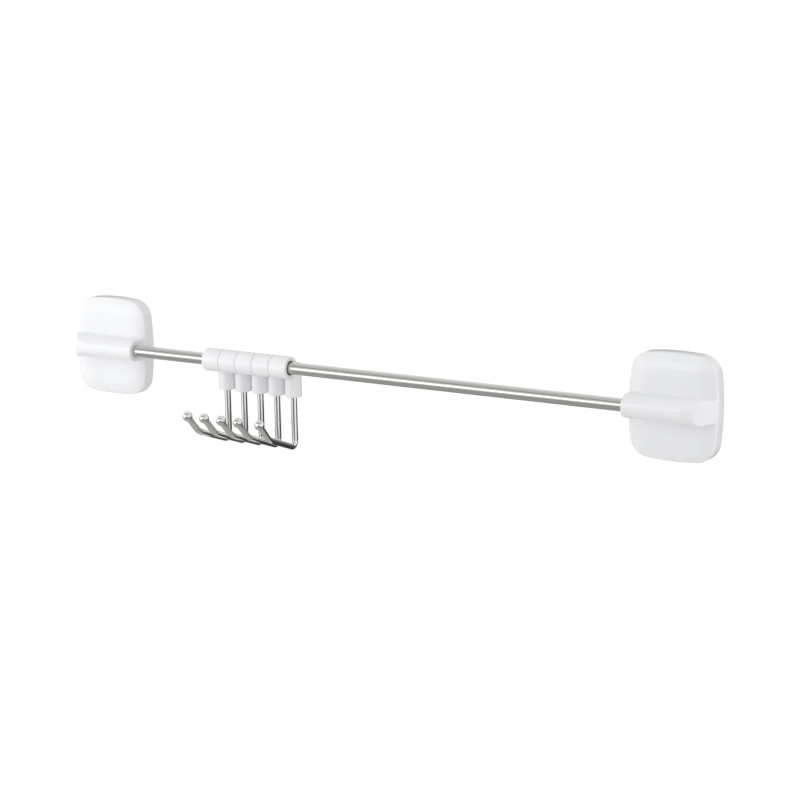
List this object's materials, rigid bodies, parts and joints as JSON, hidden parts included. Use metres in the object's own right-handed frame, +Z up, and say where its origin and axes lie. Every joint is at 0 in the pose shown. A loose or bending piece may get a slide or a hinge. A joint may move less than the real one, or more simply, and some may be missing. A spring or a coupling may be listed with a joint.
{
  "type": "kitchen utensil rail",
  "caption": "Round steel rail between two white stick-on wall pads, with sliding white sleeves that carry ball-ended chromed wire hooks for utensils.",
  "frame": {"origin": "on the axis of the round rail, half-way along it", "axes": "+X along the rail to the right as seen from the room, +Y into the wall, +Z up"},
  "size_m": [0.6026, 0.0713, 0.1142],
  "materials": {
    "cover": "gloss white injection-moulded ABS",
    "back_plate": "plain moulded ABS",
    "adhesive_pad": "soft translucent-white adhesive gel sheet",
    "screws": "zinc-plated steel",
    "tube_plug": "moulded nylon",
    "rail_tube": "satin-polished stainless tube",
    "bush": "dark moulded acetal",
    "sleeve": "gloss white injection-moulded ABS",
    "hook_wire": "bright chrome-plated steel wire",
    "hook_ball": "bright chrome-plated steel"
  },
  "bodies": {
    "rail": {"rail_tube": "rail_tube", "left_cover": "cover", "left_back_plate": "back_plate", "left_adhesive_pad": "adhesive_pad", "left_plate_screws": "screws", "left_lock_screw": "screws", "left_tube_plug": "tube_plug", "right_cover": "cover", "right_back_plate": "back_plate", "right_adhesive_pad": "adhesive_pad", "right_plate_screws": "screws", "right_lock_screw": "screws", "right_tube_plug": "tube_plug"},
    "slider_1": {"hook_1_bush": "bush"},
    "hook_1": {"hook_1_sleeve": "sleeve", "hook_1_wire": "hook_wire", "hook_1_ball": "hook_ball"},
    "slider_2": {"hook_2_bush": "bush"},
    "hook_2": {"hook_2_sleeve": "sleeve", "hook_2_wire": "hook_wire", "hook_2_ball": "hook_ball"},
    "slider_3": {"hook_3_bush": "bush"},
    "hook_3": {"hook_3_sleeve": "sleeve", "hook_3_wire": "hook_wire", "hook_3_ball": "hook_ball"},
    "slider_4": {"hook_4_bush": "bush"},
    "hook_4": {"hook_4_sleeve": "sleeve", "hook_4_wire": "hook_wire", "hook_4_ball": "hook_ball"},
    "slider_5": {"hook_5_bush": "bush"},
    "hook_5": {"hook_5_sleeve": "sleeve", "hook_5_wire": "hook_wire", "hook_5_ball": "hook_ball"}
  },
  "joints": [
    {"name": "hook_1_slide", "type": "slide", "parent": "rail", "child": "slider_1", "axis": [1, 0, 0], "range_m": [-0.0735, 0]},
    {"name": "hook_1_swing", "type": "hinge", "parent": "slider_1", "child": "hook_1", "pos_m": [-0.147, 0, 0], "axis": [1, 0, 0], "range_deg": [-154, 2.5]},
    {"name": "hook_2_slide", "type": "slide", "parent": "rail", "child": "slider_2", "axis": [1, 0, 0], "range_m": [0, 0.075]},
    {"name": "hook_2_swing", "type": "hinge", "parent": "slider_2", "child": "hook_2", "pos_m": [-0.1303, 0, 0], "axis": [1, 0, 0], "range_deg": [-154, 2.5]},
    {"name": "hook_3_slide", "type": "slide", "parent": "slider_2", "child": "slider_3", "axis": [1, 0, 0], "range_m": [0, 0.075]},
    {"name": "hook_3_swing", "type": "hinge", "parent": "slider_3", "child": "hook_3", "pos_m": [-0.1136, 0, 0], "axis": [1, 0, 0], "range_deg": [-154, 2.5]},
    {"name": "hook_4_slide", "type": "slide", "parent": "slider_3", "child": "slider_4", "axis": [1, 0, 0], "range_m": [0, 0.075]},
    {"name": "hook_4_swing", "type": "hinge", "parent": "slider_4", "child": "hook_4", "pos_m": [-0.0969, 0, 0], "axis": [1, 0, 0], "range_deg": [-154, 2.5]},
    {"name": "hook_5_slide", "type": "slide", "parent": "slider_4", "child": "slider_5", "axis": [1, 0, 0], "range_m": [0, 0.075]},
    {"name": "hook_5_swing", "type": "hinge", "parent": "slider_5", "child": "hook_5", "pos_m": [-0.0802, 0, 0], "axis": [1, 0, 0], "range_deg": [-154, 2.5]}
  ]
}
